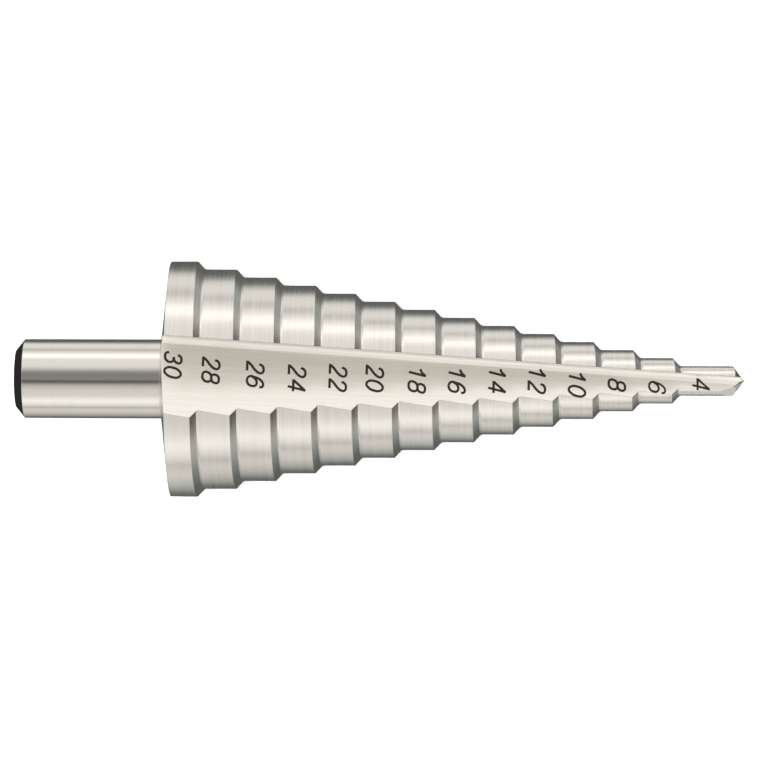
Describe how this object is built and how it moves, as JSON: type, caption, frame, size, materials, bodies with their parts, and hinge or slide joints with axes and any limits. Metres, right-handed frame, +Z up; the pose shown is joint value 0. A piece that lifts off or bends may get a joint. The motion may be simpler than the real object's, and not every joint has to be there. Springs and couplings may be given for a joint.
{
  "type": "step drill",
  "caption": "Stepped conical drill for sheet metal, with two straight flutes, relief-ground lands and a plain round shank",
  "frame": {"origin": "on the ground, below the middle of the box round the drill as it lies at rest", "axes": "+X runs along the ground below the tool's axis, from the shank to the tip; +Y across it; +Z up, out of the upper flute"},
  "size_m": [0.0912, 0.0298, 0.0282],
  "materials": {
    "ground_steel": "fine ground high-speed steel, bright, with plain dark size marks in the flutes and a dark shank-end chamfer"
  },
  "bodies": {
    "root": {"step_drill": "ground_steel"}
  },
  "joints": []
}
